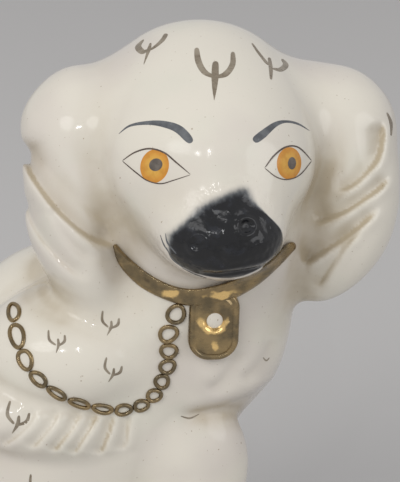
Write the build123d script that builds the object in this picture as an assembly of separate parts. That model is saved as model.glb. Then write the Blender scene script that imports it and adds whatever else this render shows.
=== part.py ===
from build123d import *
import math
import os

# Seated mantel spaniel in slip-cast earthenware, as its luted castings and sprigs.
#
# The dog sits in profile with its chest towards +X and its rump towards -X, and turns
# its head to look along -Y. +Z is up. The origin lies under the middle of the dog, on
# the surface that it stands on. Millimetres and degrees.
#
# The pot is made as a repairer assembles it: two body castings and two head castings
# from front and back moulds, cast ears, pressed legs, paws and tail, a slab let into
# the open bottom, and thin sprigs for the collar, padlock and chain. Slip lutes them
# together, so neighbours meet face to face and nothing moves.

# ------------------------------------------------------------ driving dimensions
WALL = 5.0                  # earthenware wall of every hollow casting
SEAM_Y = 2.0                # plane where the front and back moulds meet
NECK_Z = 226.0              # level where the head is luted to the body

SLAB_THICK = 6.0            # closing slab inside the foot of the body
VENT_RADIUS = 6.0           # firing vent in the closing slab
VENT_AT = (-40.0, 4.0)

# Trunk: rump edge, chest edge, middle in Y and half depth of each oval section. The
# lower sections follow their level above the foot, the upper ones theirs below the neck.
TRUNK_FOOT = (-110.0, 38.0, 4.0, 46.0)
LOWER_SECTIONS = [
    (50.0, -117.0, 44.0, 4.0, 52.0),
    (100.0, -110.0, 52.0, 3.0, 54.0),
]
UPPER_SECTIONS = [
    (76.0, -85.0, 69.0, 2.0, 52.0),
    (36.0, -52.0, 84.0, 0.0, 47.0),
]
NECK_HALF = (46.0, 41.0)    # half sizes of the oval joint between head and body

# Lumps that swell out of the trunk: X, distance from the middle plane and level, half
# sizes, then tilt about Y. The haunch stands on the foot; the others hang from the neck.
HAUNCH = ((-50.0, 34.0, 76.0), (56.0, 30.0, 62.0), 0.0)
SHOULDER = ((-5.0, 20.0, -33.0), (41.0, 33.0, 27.0), -6.0)
ELBOW = ((-16.0, 28.0, -58.0), (44.0, 26.0, 20.0), 8.0)
CHEST = ((54.0, -10.0, -36.0), (28.0, 36.0, 30.0), 0.0)     # one lump, in the middle

HEAD_XY = (45.0, -5.0)
HEAD_RISE = 46.0            # the head's centre above the neck joint

# Lumps of the head: middle from the head's centre, then half sizes.
CRANIUM = ((0.0, 2.0, 6.0), (45.0, 47.0, 44.0))
FACE = ((0.0, -22.0, 4.0), (41.0, 40.0, 34.0))
JAW = ((0.0, -10.0, -26.0), (41.0, 36.0, 30.0))
MUZZLE = ((0.0, -51.0, -16.0), (26.0, 25.0, 21.0))

# Hanging flap and the fold that carries it over the crown, for the dog's right and left
# ear: middle from the head's centre, outwards, then half sizes, tilt and lean.
RIGHT_FLAP = ((50.0, -9.0, -19.0), (20.0, 26.0, 50.0), 1.0, -18.0)
LEFT_FLAP = ((59.0, -9.0, -15.0), (22.0, 26.0, 45.0), 1.0, -18.0)
RIGHT_FOLD = ((36.0, 4.0, 13.0), (34.0, 27.0, 17.0), 10.0, 0.0)
LEFT_FOLD = ((44.0, 4.0, 13.0), (34.0, 27.0, 17.0), 10.0, 0.0)

LEG_FOOT_RADIUS = 13.0
LEG_STRAIGHT = 46.0         # the shank keeps that radius up to here
LEG_TOP = (26.0, 17.0, 34.0)        # half sizes of the upper arm
LEG_TOP_DROP = 86.0         # its middle lies this far below the neck joint
LEG_TOP_SHIFT = -3.0        # and this far behind the ankle
NEAR_LEG_AT = (43.0, -34.0)
FAR_LEG_AT = (46.0, 30.0)
PAW = (22.0, 15.0, 15.0)
PAW_REACH = 16.0            # the paw's centre is this far in front of the ankle
PAW_FLAT = 7.0              # depth that the flat sole takes off a round paw
HIND_PAW = (26.0, 15.0, 15.0)
HIND_PAW_OUT = (40.0, 16.0) # from the middle of the haunch, forwards and outwards

TAIL_RADIUS = 10.0
TAIL_CURL = 36.0            # radius of the tail's curl
TAIL_OUT = (-20.0, 16.0, -30.0)     # middle of the curl, from the middle of the haunch
TAIL_SWEEP = (165.0, 300.0) # angles of the curl, from +X towards +Z

COLLAR_BELOW = 1.0          # middle of the band at the throat, below the neck joint
COLLAR_HEIGHT = 7.0         # at the throat
COLLAR_PROUD = 2.5          # relief of the collar band
COLLAR_RISE = (32.7, 29.0)  # slopes of its lower and upper edge; the band narrows upwards
COLLAR_ENDS = 30.0          # the band runs this far back from the throat

PADLOCK_BELOW = 12.0        # middle of the lock below the middle of the band
PADLOCK_WIDTH = 18.5
PADLOCK_TALL = 26.0
PADLOCK_FLAT = 1.0          # half of the straight run between its rounded corners
PADLOCK_PROUD = 4.0
PADLOCK_ROOT = 12.0         # the sprig reaches this far back, to bed on the chest
PADLOCK_BEVEL = 1.8
PADLOCK_LEAN = 14.0         # its face leans back to follow the chest
KEYHOLE_RADIUS = 3.0
KEYHOLE_DEEP = 0.8

CHAIN_SHIFT = (5.0, 21.0)   # middle of the chain's swag, from the middle of the shoulder
CHAIN_INSIDE = (10.0, -6.0) # half width and drop of the swag are that much under the shoulder's
CHAIN_SPAN = (-4, 168)      # part of the swag that is linked
LINK_RADIUS = 3.0           # to the middle of the wire
LINK_WIRE = 1.0
LINK_GAP = 0.3              # clear space between neighbouring links
LINK_SUNK = 0.3             # depth of the wire's middle below the body's surface

FAR = 400.0                 # bigger than the dog, for cutting boxes

HEAD_AT = (*HEAD_XY, NECK_Z + HEAD_RISE)
EARS = {-1: (RIGHT_FLAP, RIGHT_FOLD), 1: (LEFT_FLAP, LEFT_FOLD)}
CHAIN_HALF = (SHOULDER[1][0] - CHAIN_INSIDE[0], SHOULDER[1][2] - CHAIN_INSIDE[1])
THROAT = (HEAD_XY[0], HEAD_XY[1] - NECK_HALF[1], NECK_Z - COLLAR_BELOW)


# ------------------------------------------------------------ shared shapes
def grown(half, by):
    return tuple(size + by for size in half)


def egg(centre, half, tilt=0.0, lean=0.0):
    """An ellipsoid with those half sizes, tilted about Y and then leant about X."""
    return Pos(*centre) * Rot(lean, 0, 0) * Rot(0, tilt, 0) * scale(Sphere(1), by=half)


def placed(lump, from_level=0.0, sides=(-1, 1)):
    """A lump on the near and on the far side of the body, with its level from the foot."""
    (x, y, z), half, tilt = lump
    return [((x, side * y, from_level + z), half, tilt) for side in sides]


def from_head(offset, side=1):
    """A place given from the head's centre; side is -1 for the dog's right."""
    return (HEAD_AT[0] + side * offset[0], HEAD_AT[1] + offset[1], HEAD_AT[2] + offset[2])


def slab_between(low, high):
    """Everything between two levels."""
    return Pos(0, 0, (low + high) / 2) * Box(2 * FAR, 2 * FAR, high - low)


def front_of_seam():
    return Pos(0, SEAM_Y - FAR, 0) * Box(2 * FAR, 2 * FAR, 4 * FAR)


def largest(shape):
    """The piece itself, without crumbs that a cut may leave."""
    return max(shape.solids(), key=lambda solid: solid.volume)


# ------------------------------------------------------------ body
def oval(level, rump, chest, middle, half_depth, inset):
    half_length = (chest - rump) / 2
    return Pos((rump + chest) / 2, middle, level) * Ellipse(half_length - inset, half_depth - inset)


def trunk(inset):
    rings = [oval(0, *TRUNK_FOOT, inset)]
    rings += [oval(*section, inset) for section in LOWER_SECTIONS]
    rings += [oval(NECK_Z - below, *section, inset) for below, *section in UPPER_SECTIONS]
    rings += [Pos(*HEAD_XY, NECK_Z) * Ellipse(*grown(NECK_HALF, -inset))]
    return loft(rings)


def body_solid(inset=0.0):
    """The body without limbs; an inset gives the hollow inside it."""
    lumps = placed(CHEST, NECK_Z, sides=(1,)) + placed(HAUNCH)
    lumps += placed(SHOULDER, NECK_Z) + placed(ELBOW, NECK_Z)
    solid = trunk(inset)
    for centre, half, tilt in lumps:
        solid += egg(centre, grown(half, -inset), tilt)
    return solid & slab_between(0, FAR)


def closing_slab(hollow):
    """A slab that fills the foot of the hollow, with the vent that lets out steam in the kiln."""
    vent = Pos(*VENT_AT, 0) * Cylinder(VENT_RADIUS, 2 * FAR)
    return (hollow & slab_between(0, SLAB_THICK)) - vent


# ------------------------------------------------------------ head
def head_solid(inset=0.0):
    """Skull, face, jaw, muzzle and neck; an inset gives the hollow inside them."""
    neck_foot = Pos(*HEAD_XY, NECK_Z) * Ellipse(*grown(NECK_HALF, -inset))
    solid = extrude(neck_foot, HEAD_RISE)
    for middle, half in (CRANIUM, FACE, JAW, MUZZLE):
        solid += egg(from_head(middle), grown(half, -inset))
    return solid & slab_between(NECK_Z, NECK_Z + FAR)


def ear_solid(side, inset=0.0):
    """The hanging flap with the fold that carries it over the crown."""
    flap, fold = (
        egg(from_head(middle, side), grown(half, -inset), side * tilt, lean)
        for middle, half, tilt, lean in EARS[side]
    )
    return flap + fold


def ear(side, *carriers):
    """A hollow ear, open where it is luted to its carriers."""
    solid = ear_solid(side) - ear_solid(side, WALL)
    for carrier in carriers:
        solid = largest(solid - carrier)
    return solid


# ------------------------------------------------------------ limbs
def paw(x, y, half):
    """A rounded paw with a flat sole."""
    return egg((x, y, half[2] - PAW_FLAT), half) & slab_between(0, FAR)


def foreleg(at, body):
    x, y = at
    top = (x + LEG_TOP_SHIFT, y, NECK_Z - LEG_TOP_DROP)
    column = loft([
        Pos(x, y, 0) * Circle(LEG_FOOT_RADIUS),
        Pos(x, y, LEG_STRAIGHT) * Circle(LEG_FOOT_RADIUS),
        Pos(*top) * Ellipse(LEG_TOP[0], LEG_TOP[1]),
    ])
    leg = column + egg(top, LEG_TOP) + paw(x + PAW_REACH, y, PAW)
    return largest((leg - body) & slab_between(0, FAR))


def hind_paw(side, body):
    x, y, _ = HAUNCH[0]
    return largest(paw(x + HIND_PAW_OUT[0], side * (y + HIND_PAW_OUT[1]), HIND_PAW) - body)


def tail(body):
    """A round tail that curls up over the near haunch."""
    haunch_x, haunch_y, haunch_z = HAUNCH[0]
    middle_x, middle_z = haunch_x + TAIL_OUT[0], haunch_z + TAIL_OUT[2]
    start, end = (math.radians(angle) for angle in TAIL_SWEEP)
    points = [
        (middle_x + TAIL_CURL * math.cos(a), -haunch_y - TAIL_OUT[1], middle_z + TAIL_CURL * math.sin(a))
        for a in (start, (start + end) / 2, end)
    ]
    curl = ThreePointArc(*points)
    rod = sweep(Plane(origin=points[0], z_dir=curl % 0) * Circle(TAIL_RADIUS), path=curl)
    tip = Pos(*points[0]) * Sphere(TAIL_RADIUS)
    return largest((rod + tip - body) & slab_between(0, FAR))


# ------------------------------------------------------------ sprigs
def above(point, slope):
    """Everything above a plane through a point that rises at that slope towards the back."""
    return Pos(*point) * Rot(slope, 0, 0) * Pos(0, 0, FAR / 2) * Box(2 * FAR, 2 * FAR, FAR)


def collar(*carriers):
    """A band round the throat that rises towards the ears and narrows there."""
    x, y, z = THROAT
    lower, upper = COLLAR_RISE
    band = extrude(Pos(*HEAD_XY, z - FAR / 2) * Ellipse(*grown(NECK_HALF, COLLAR_PROUD)), FAR)
    band &= above((x, y, z - COLLAR_HEIGHT / 2), lower)
    band -= above((x, y, z + COLLAR_HEIGHT / 2), upper)
    band &= Pos(x, y + COLLAR_ENDS - FAR, z) * Box(2 * FAR, 2 * FAR, 2 * FAR)
    for carrier in carriers:
        band -= carrier
    return largest(band)


def surface_point(solid, x, z):
    """Where a line along +Y first meets the solid, and the outward normal there."""
    hits = solid.find_intersection_points(Axis((x, -FAR, z), (0, 1, 0)))
    return min(hits, key=lambda hit: hit[0].Y)


def padlock(body, collar_band):
    point, _ = surface_point(body, THROAT[0], THROAT[2] - PADLOCK_BELOW)
    plate = RectangleRounded(PADLOCK_WIDTH, PADLOCK_TALL, PADLOCK_WIDTH / 2 - PADLOCK_FLAT)
    block = extrude(plate, PADLOCK_PROUD) + extrude(plate, -PADLOCK_ROOT)
    block = fillet(block.faces().sort_by(Axis.Z)[-1].edges(), PADLOCK_BEVEL)
    block -= Pos(0, 0, PADLOCK_PROUD - KEYHOLE_DEEP) * Cylinder(
        KEYHOLE_RADIUS, KEYHOLE_DEEP, align=(Align.CENTER, Align.CENTER, Align.MIN)
    )
    face = Plane(origin=point, x_dir=(1, 0, 0), z_dir=(0, -1, 0))
    return largest(face.location * Rot(-PADLOCK_LEAN, 0, 0) * block - body - collar_band)


def chain(body, *others):
    """Rings laid along a hanging swag, each one in relief on the body."""
    step = 2 * (LINK_RADIUS + LINK_WIRE) + LINK_GAP
    room = grown(CHAIN_HALF, step)
    swag_x = SHOULDER[0][0] + CHAIN_SHIFT[0]
    swag_z = NECK_Z + SHOULDER[0][2] + CHAIN_SHIFT[1]
    body = body & Pos(swag_x, 0, swag_z - step) * Box(2 * room[0], FAR, 2 * room[1])
    links, last = [], None
    for degrees in range(*CHAIN_SPAN):
        angle = math.radians(degrees)
        x = swag_x + CHAIN_HALF[0] * math.cos(angle)
        z = swag_z - CHAIN_HALF[1] * math.sin(angle)
        point, normal = surface_point(body, x, z)
        if last is not None and (point - last).length < step:
            continue
        last = point
        seat = Plane(origin=point - normal * LINK_SUNK, z_dir=normal)
        ring = seat.location * Torus(LINK_RADIUS, LINK_WIRE) - body
        for other in others:
            ring -= other
        links.append(largest(ring))
    return Compound(links)


# ------------------------------------------------------------ the dog
def build():
    body, hollow = body_solid(), body_solid(WALL)
    head = head_solid() - body
    body_shell = body - hollow
    head_shell = head - head_solid(WALL)
    band = collar(body, head)
    right_ear, left_ear = (ear(side, head, body, band) for side in (-1, 1))
    lock = padlock(body, band)
    front = front_of_seam()
    return {
        "body_front_casting": body_shell & front,
        "body_back_casting": body_shell - front,
        "head_front_casting": head_shell & front,
        "head_back_casting": head_shell - front,
        "right_ear": right_ear,
        "left_ear": left_ear,
        "near_foreleg": foreleg(NEAR_LEG_AT, body),
        "far_foreleg": foreleg(FAR_LEG_AT, body),
        "near_hind_paw": hind_paw(-1, body),
        "far_hind_paw": hind_paw(1, body),
        "tail": tail(body),
        "closing_slab": closing_slab(hollow),
        "collar_band": band,
        "padlock": lock,
        "chain_links": chain(body, band, lock),
    }


os.makedirs("parts", exist_ok=True)
for name, shape in build().items():
    export_step(shape, f"parts/{name}.step")
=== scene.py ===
import math

import bpy
import numpy as np
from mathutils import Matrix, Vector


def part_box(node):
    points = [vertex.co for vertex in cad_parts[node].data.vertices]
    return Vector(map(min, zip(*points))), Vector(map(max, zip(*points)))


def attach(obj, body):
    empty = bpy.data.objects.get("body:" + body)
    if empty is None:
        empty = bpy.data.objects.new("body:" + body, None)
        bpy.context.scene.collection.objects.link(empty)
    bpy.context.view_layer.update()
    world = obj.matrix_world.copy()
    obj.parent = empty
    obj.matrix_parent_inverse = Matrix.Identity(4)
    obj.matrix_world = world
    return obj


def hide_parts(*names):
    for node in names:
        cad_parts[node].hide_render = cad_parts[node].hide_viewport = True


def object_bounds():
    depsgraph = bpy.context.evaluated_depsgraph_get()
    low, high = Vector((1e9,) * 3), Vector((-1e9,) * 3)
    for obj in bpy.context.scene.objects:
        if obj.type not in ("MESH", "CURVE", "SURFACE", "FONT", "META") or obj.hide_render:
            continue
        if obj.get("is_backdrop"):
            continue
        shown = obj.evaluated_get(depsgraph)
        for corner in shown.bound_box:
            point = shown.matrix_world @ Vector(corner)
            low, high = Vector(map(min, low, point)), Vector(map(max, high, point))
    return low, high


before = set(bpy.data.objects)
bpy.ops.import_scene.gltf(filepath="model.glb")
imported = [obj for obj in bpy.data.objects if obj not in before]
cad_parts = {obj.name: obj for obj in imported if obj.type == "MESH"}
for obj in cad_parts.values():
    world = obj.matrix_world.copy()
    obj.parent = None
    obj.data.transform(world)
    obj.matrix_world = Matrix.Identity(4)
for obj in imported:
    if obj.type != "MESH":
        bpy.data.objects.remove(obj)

import openvdb
from mathutils import Matrix, Vector

# A seated mantel spaniel in glazed earthenware, turned to face the room. Everything is
# worked out in millimetres, in the frame of the CAD, and written to Blender in metres.
MM = 0.001
WALL = 5.0  # of the castings
GRID = 1.15  # spacing of the skin's points
scene = bpy.context.scene


def node_box(*nodes):
    """Lowest and highest corner of CAD nodes together, in millimetres."""
    corners = np.array([[tuple(corner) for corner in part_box(node)] for node in nodes]) / MM
    return corners[:, 0].min(0), corners[:, 1].max(0)


cad_low, cad_high = (tuple(corner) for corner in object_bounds())
skull_low, skull_high = node_box("head_front_casting", "head_back_casting")
_, SEAM_Y, NECK_Z = node_box("head_back_casting")[0]
CROWN, NAPE = 50, 49    # from the middle of the head to its top and its back
HEAD = np.array([(skull_low[0] + skull_high[0]) / 2, skull_high[1] - NAPE, skull_high[2] - CROWN])


# ---- distance fields
def oval(q, half):
    """Distance to an ellipsoid round the origin, true near its surface."""
    q = q / half
    near = np.sqrt((q * q).sum(1))
    slope = np.sqrt(((q / half) ** 2).sum(1))
    return near * (near - 1) / np.maximum(slope, 1e-6)


def egg(p, centre, half, tilt=0.0, lean=0.0):
    """Distance to an ellipsoid, turned by degrees about Y and then about X."""
    q = p - np.float32(centre)
    if tilt or lean:
        turn_x = Matrix.Rotation(math.radians(lean), 3, "X")
        turn_y = Matrix.Rotation(math.radians(tilt), 3, "Y")
        q = q @ np.float32(turn_x @ turn_y)
    return oval(q, np.float32(half))


def rod(p, start, end, start_radius, end_radius):
    """Distance to a round bar that tapers from one end to the other."""
    start, end = np.float32(start), np.float32(end)
    along = end - start
    t = np.clip((p - start) @ along / (along @ along), 0, 1)
    middle = start + t[:, None] * along
    return np.linalg.norm(p - middle, axis=1) - (start_radius + t * (end_radius - start_radius))


def join(a, b, soft):
    """Union of two fields, filleted over a length."""
    h = np.maximum(soft - np.abs(a - b), 0) / soft
    return np.minimum(a, b) - h * h * soft / 4


def carve(a, b, soft):
    """What two fields share, rounded over a length; -b cuts b out."""
    return -join(-a, -b, soft)


def smooth(t):
    """Ease from 0 to 1."""
    t = np.clip(t, 0, 1)
    return t * t * (3 - 2 * t)


def bell(away, width, power=2):
    """1 on a line and 0 well away from it."""
    return np.exp(-(away / width) ** power)


def curve(points, count=24):
    """A smooth line through a few points, as many short steps."""
    points = np.float32(points)
    padded = np.vstack([2 * points[0] - points[1], points, 2 * points[-1] - points[-2]])
    place = np.linspace(0, len(points) - 1, count)
    k = np.minimum(place.astype(int), len(points) - 2)
    t = np.float32(place - k)[:, None]
    a, b, c, d = (padded[k + i] for i in range(4))
    return 0.5 * (2 * b + (c - a) * t + (2 * a - 5 * b + 4 * c - d) * t ** 2
                  + (3 * b - a - 3 * c + d) * t ** 3)


def beside(p, line):
    """Distance from points in a plane to a line, positive on its left, and how far along it."""
    signed, along = np.full(len(p), 1e9, np.float32), np.zeros(len(p), np.float32)
    for i, (a, b) in enumerate(zip(line[:-1], line[1:])):
        step = b - a
        t = np.clip((p - a) @ step / (step @ step), 0, 1)
        away = p - a - t[:, None] * step
        gap = np.hypot(away[:, 0], away[:, 1])
        nearer = gap < np.abs(signed)
        side = np.where(step[0] * away[:, 1] - step[1] * away[:, 0] > 0, 1, -1)
        signed = np.where(nearer, gap * side, signed)
        along = np.where(nearer, (i + t) / (len(line) - 1), along)
    return signed, along


def ripple(p, size, seed, waves=7):
    """Uneven waves of about that size, between -1 and 1."""
    random = np.random.default_rng(seed)
    total = np.zeros(len(p), np.float32)
    for _ in range(waves):
        wave = np.float32(random.normal(size=p.shape[1]))
        wave *= 2 * math.pi / size / np.linalg.norm(wave)
        total += np.sin(p @ wave + random.uniform(0, 2 * math.pi))
    return total / (waves / 2)


# ---- the dog's form
def from_head(p):
    """Places as seen from the middle of the head."""
    return p - np.float32(HEAD)


# The chart is a flat picture of the front, right and up, seen from above and from the
# dog's right. Paint and locks of hair are drawn on it.
CHART_SWAY, CHART_RISE = 0.176, 0.435


def chart(p):
    """Places on the chart, from the middle of the head."""
    q = from_head(p)
    return np.stack([q[:, 0] - CHART_SWAY * q[:, 1], q[:, 2] + CHART_RISE * q[:, 1]], 1)


TRUNK_RINGS = np.array([        # level, middle X, middle Y, half length, half depth
    (-30, -36, 4, 69, 41),
    (0, -36, 4, 74, 46),
    (50, -36.5, 4, 80.5, 52),
    (100, -29, 3, 81, 54),
    (150, -8, 2, 77, 52),
    (190, 16, 0, 68, 47),
    (226, 45, -5, 46, 41),
    (290, 45, -5, 44, 40),
])
TRUNK_LEVELS = np.linspace(TRUNK_RINGS[0, 0], TRUNK_RINGS[-1, 0], 120)
TRUNK_TOP = 250
JAW_DOWN = 74   # the neck starts this far below the middle of the head


def eased(levels, rings):
    """Rings at many levels, on a smooth curve through the given ones."""
    at, values = rings[:, 0], rings[:, 1:]
    slope = np.gradient(values, at, axis=0)
    k = np.clip(np.searchsorted(at, levels, side="right") - 1, 0, len(at) - 2)
    span = (at[k + 1] - at[k])[:, None]
    t = (levels - at[k])[:, None] / span
    start = (2 * t ** 3 - 3 * t ** 2 + 1) * values[k] + (t ** 3 - 2 * t ** 2 + t) * span * slope[k]
    return (start + (3 * t ** 2 - 2 * t ** 3) * values[k + 1]
            + (t ** 3 - t ** 2) * span * slope[k + 1])


TRUNK_OVALS = eased(TRUNK_LEVELS, TRUNK_RINGS).T


def trunk(p):
    """A stack of ovals from the foot to the neck."""
    here = np.float32([np.interp(p[:, 2], TRUNK_LEVELS, row) for row in TRUNK_OVALS]).T
    return carve(oval(p[:, :2] - here[:, :2], here[:, 2:]), p[:, 2] - TRUNK_TOP, 10)


def body_field(p):
    """The trunk with its chest, and a haunch, belly and shoulder on both sides."""
    d = join(trunk(p), egg(p, (54, -10, 190), (28, 36, 30)), 14)
    q = p.copy()
    q[:, 1] = np.abs(p[:, 1])
    d = join(d, egg(q, (-50, 34, 76), (56, 30, 62)), 10)
    d = join(d, egg(q, (-16, 28, 168), (44, 26, 20), tilt=8), 4)
    return join(d, egg(q, (-5, 20, 193), (41, 33, 27), tilt=-6), 4)


def foreleg_field(p, x, y):
    d = np.minimum(rod(p, (x, y, 0), (x, y, 46), 13, 13),
                   rod(p, (x, y, 46), (x - 3, y, 120), 13, 20))
    d = join(d, egg(p, (x - 3, y, 140), (26, 17, 34)), 12)
    return join(d, egg(p, (x + 16, y, 8), (22, 15, 15)), 6)


def head_field(p):
    """Skull, brow, cheeks and muzzle, the same on both sides."""
    q = from_head(p)
    q[:, 0] = np.abs(q[:, 0])
    d = egg(q, (0, 2, 6), (45, 47, 44))
    d = join(d, egg(q, (0, -22, 4), (41, 40, 34)), 12)
    d = join(d, egg(q, (0, -10, -26), (41, 36, 30)), 12)
    return join(d, egg(q, (0, -51, -13.5), (25, 25, 18.5)), 12)


def head_and_neck(p):
    return join(head_field(p), carve(trunk(p), HEAD[2] - JAW_DOWN - p[:, 2], 20), 12)


# Out from the middle of the head, half sizes, level and bend of each ear's flap.
EARS = {-1: (50, (20.5, 26, 51), -19, 0.006), 1: (59, (22.5, 26, 46), -16, 0.006)}


def ear_field(p, side):
    """The fold over the crown and the flap that hangs from it."""
    q = from_head(p)
    q[:, 0] *= side
    out, half, level, bend = EARS[side]
    d = egg(q, (out - 14, 4, 14), (35, 27, 19), tilt=10)
    q[:, 0] += bend * np.maximum(level - q[:, 2], 0) ** 2
    return join(d, egg(q, (out, -9, level), half, lean=-18), 10)


def tail_field(p):
    """Part of a ring that curls up the rump, and its round tip."""
    curl = np.hypot(np.hypot(p[:, 0] + 70, p[:, 2] - 46) - 36, p[:, 1] + 50) - 10
    return np.minimum(np.maximum(curl, p[:, 0] + 60), egg(p, (-60, -50, 11.5), (14, 10, 10)))


SPLIT = ["body_front_casting", "head_front_casting", "body_back_casting", "head_back_casting",
         "right_ear", "left_ear", "near_foreleg", "far_foreleg", "near_hind_paw",
         "far_hind_paw", "tail"]
HOLLOW = SPLIT[:6]
SOFT = [6, 9, 9, 5, 5, 4, 4, 4]     # fillets of the head and what follows it in fields()


def fields(p):
    """The fields of body and head, and then of the pieces after the castings in SPLIT."""
    return [
        body_field(p), head_and_neck(p), ear_field(p, -1), ear_field(p, 1),
        foreleg_field(p, 43, -34), foreleg_field(p, 46, 30),
        egg(p, (-10, -50, 8), (26, 15, 15)), egg(p, (-10, 50, 8), (26, 15, 15)),
        tail_field(p),
    ]


# ---- relief on the chart
class Chart:
    """Values over the chart, kept on a fine grid and looked up smoothly."""

    def __init__(self, low, high, step):
        self.low, self.step = np.float32(low), step
        axes = (start + step * np.arange(int((end - start) / step) + 1, dtype=np.float32)
                for start, end in zip(low, high))
        self.places = np.float32(np.stack(np.meshgrid(*axes, indexing="ij"), -1))
        self.values = np.zeros(self.places.shape[:2], np.float32)

    def draw(self, work, line, reach):
        """Adds a function of the places within reach of a line."""
        box = np.stack([line.min(0) - reach, line.max(0) + reach])
        first, last = np.maximum((box - self.low) / self.step, 0).astype(int)
        patch = np.s_[first[0]:last[0], first[1]:last[1]]
        at = self.places[patch]
        self.values[patch] += work(at.reshape(-1, 2)).reshape(at.shape[:2])

    def __call__(self, at):
        place = np.clip((at - self.low) / self.step, 1, np.array(self.values.shape) - 2.01)
        cell = np.round(place).astype(int)
        t = place - cell
        weights = (0.5 * (0.5 - t) ** 2, 0.75 - t * t, 0.5 * (0.5 + t) ** 2)
        total = 0
        for i, across in enumerate(weights):
            for j, upwards in enumerate(weights):
                near = self.values[cell[:, 0] + i - 1, cell[:, 1] + j - 1]
                total += across[:, 0] * upwards[:, 1] * near
        return total


# Where locks of hair meet, on the chart: depth, soft side (left), steep side, and the line.
LOCKS = [
    (2.1, 6, 1.6, [(53, -21), (59.5, -19.5), (65, -15), (70.5, -7.5), (72, 2), (71.5, 9)]),
    (2.1, 6, 1.6, [(46, -34), (52, -32.5), (59, -29.5), (65.5, -25), (72, -20), (77, -14)]),
    (2.1, 5.5, 1.6, [(43, -52), (47.5, -49.5), (54.5, -44.5), (61.5, -39), (67, -34), (73, -27)]),
    (1.6, 4, 1.5, [(50, -64), (52.5, -58), (55.5, -51.5), (60, -44), (66.5, -38)]),
    (2.3, 7, 1.8, [(-72, 6), (-69, -3), (-59.5, -17.5), (-49, -30), (-38.5, -38.5), (-29, -41.5)]),
    (0.9, 5, 3, [(-66, 3), (-63.5, -2.5), (-56, -10.5), (-48, -19), (-38.5, -28), (-31, -34)]),
    (1.5, 5, 2, [(-70, -17), (-66, -27), (-59.5, -37.5), (-50, -48.5), (-39, -57.5)]),
    (1, 3.5, 2, [(-57, -25), (-53.5, -31.5), (-47.5, -40.5), (-38, -50.5)]),
]
FUR = [     # tufts on the elbow, and the hem of the chest over the near foreleg
    (1.6, 3.6, 1.6, [(-47, -133), (-44, -127), (-40, -120), (-37, -113)]),
    (1.5, 3.6, 1.6, [(-55, -131), (-51.5, -126), (-47, -120), (-43.5, -112)]),
    (1.3, 3.6, 1.6, [(-64, -129), (-59.5, -124), (-55, -118), (-52, -111)]),
    (1.3, 3.6, 1.6, [(-76, -127), (-70, -123), (-64, -117), (-61, -110)]),
    (1.4, 3.6, 1.6, [(-36.5, -134), (-34.5, -128), (-32.5, -122), (-31, -114)]),
    (1.1, 3.6, 1.6, [(-27, -133), (-26, -127), (-25.5, -121), (-25, -115)]),
    (1.5, 6, 2.4, [(36, -106), (29, -110.5), (17, -115), (6, -117.5), (-6, -119)]),
    (0.9, 5, 2.4, [(18, -88), (17, -96), (13, -103), (6, -108)]),
    (0.9, 5, 2.4, [(33, -84), (31, -92), (26, -99), (20, -104)]),
]
MOUTH = [
    (0.9, 1.2, 0.7, [(32, -46), (28, -50.5), (22, -52.5), (15, -53.5), (8, -54), (1, -53)]),
    (0.7, 1.6, 1.6, [(9, -43), (9.5, -47), (10.5, -52.5)]),
]
NOSTRILS = [((18.5, -36), 0.9), ((1, -42), 0.7)]
NOSE = (13, -29)
BLACK_EDGE = [      # of the enamel on the muzzle, anticlockwise
    (-10.5, -38), (-9, -46.5), (-4.5, -51), (3, -54.5), (11.5, -56), (19.5, -55), (29.5, -49.5),
    (32.5, -43.5), (31.5, -37.5), (26, -31.5), (21.5, -26), (19, -21), (15.5, -20.5), (9, -23),
    (1, -27), (-5, -33.5), (-10.5, -38),
]
PROUD = 0.35    # the next lock's edge stands up by this much of the dip


def overlaps(p, line, depth, soft_side, steep_side):
    """The dip where one lock of hair slides under the next, gentle on its side of the line."""
    away, along = beside(p, line)
    fade = smooth(5 * along) * smooth(5 * (1 - along))
    width = np.where(away > 0, soft_side, steep_side)
    edge = PROUD * bell(away + 2.2 * steep_side, 1.6 * steep_side)
    return depth * fade * (bell(away, width) - edge)


def nostril(at, middle, deep):
    """A round pit with a raised rim."""
    away = np.hypot(*(at - np.float32(middle)).T)
    return deep * (bell(away, 2.2, 4) - 0.6 * bell(away - 3.6, 1.0))


def charted_locks(locks, low, high, step=0.4):
    """A chart of the dips between locks of hair."""
    dips = Chart(low, high, step)
    for depth, soft_side, steep_side, line in locks:
        line = curve(line)
        dips.draw(lambda at: overlaps(at, line, depth, soft_side, steep_side), line, 3 * soft_side)
    return dips


hair = charted_locks(LOCKS, (-95, -75), (95, 30))
fur = charted_locks(FUR, (-100, -150), (60, -82))
mouth = charted_locks(MOUTH, (-25, -65), (45, -10), 0.25)
painted = Chart((-25, -65), (45, -10), 0.25)    # to the enamel's edge, negative inside
painted.draw(lambda at: -beside(at, curve(BLACK_EDGE, 96))[0], curve(BLACK_EDGE), 40)

HAIR_ENDS, HAIR_FADE = 20, 22   # the locks fade out behind the middle of the head
FUR_ENDS, FUR_FADE = -18, 10    # and the body's fur before the mould seam
FACE_Y = HEAD[1] - 52   # the muzzle's relief lies in front of this,
FACE_AT, FACE_HALF = np.float32([10, -38]), np.float32([34, 27])    # and here on the chart


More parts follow.
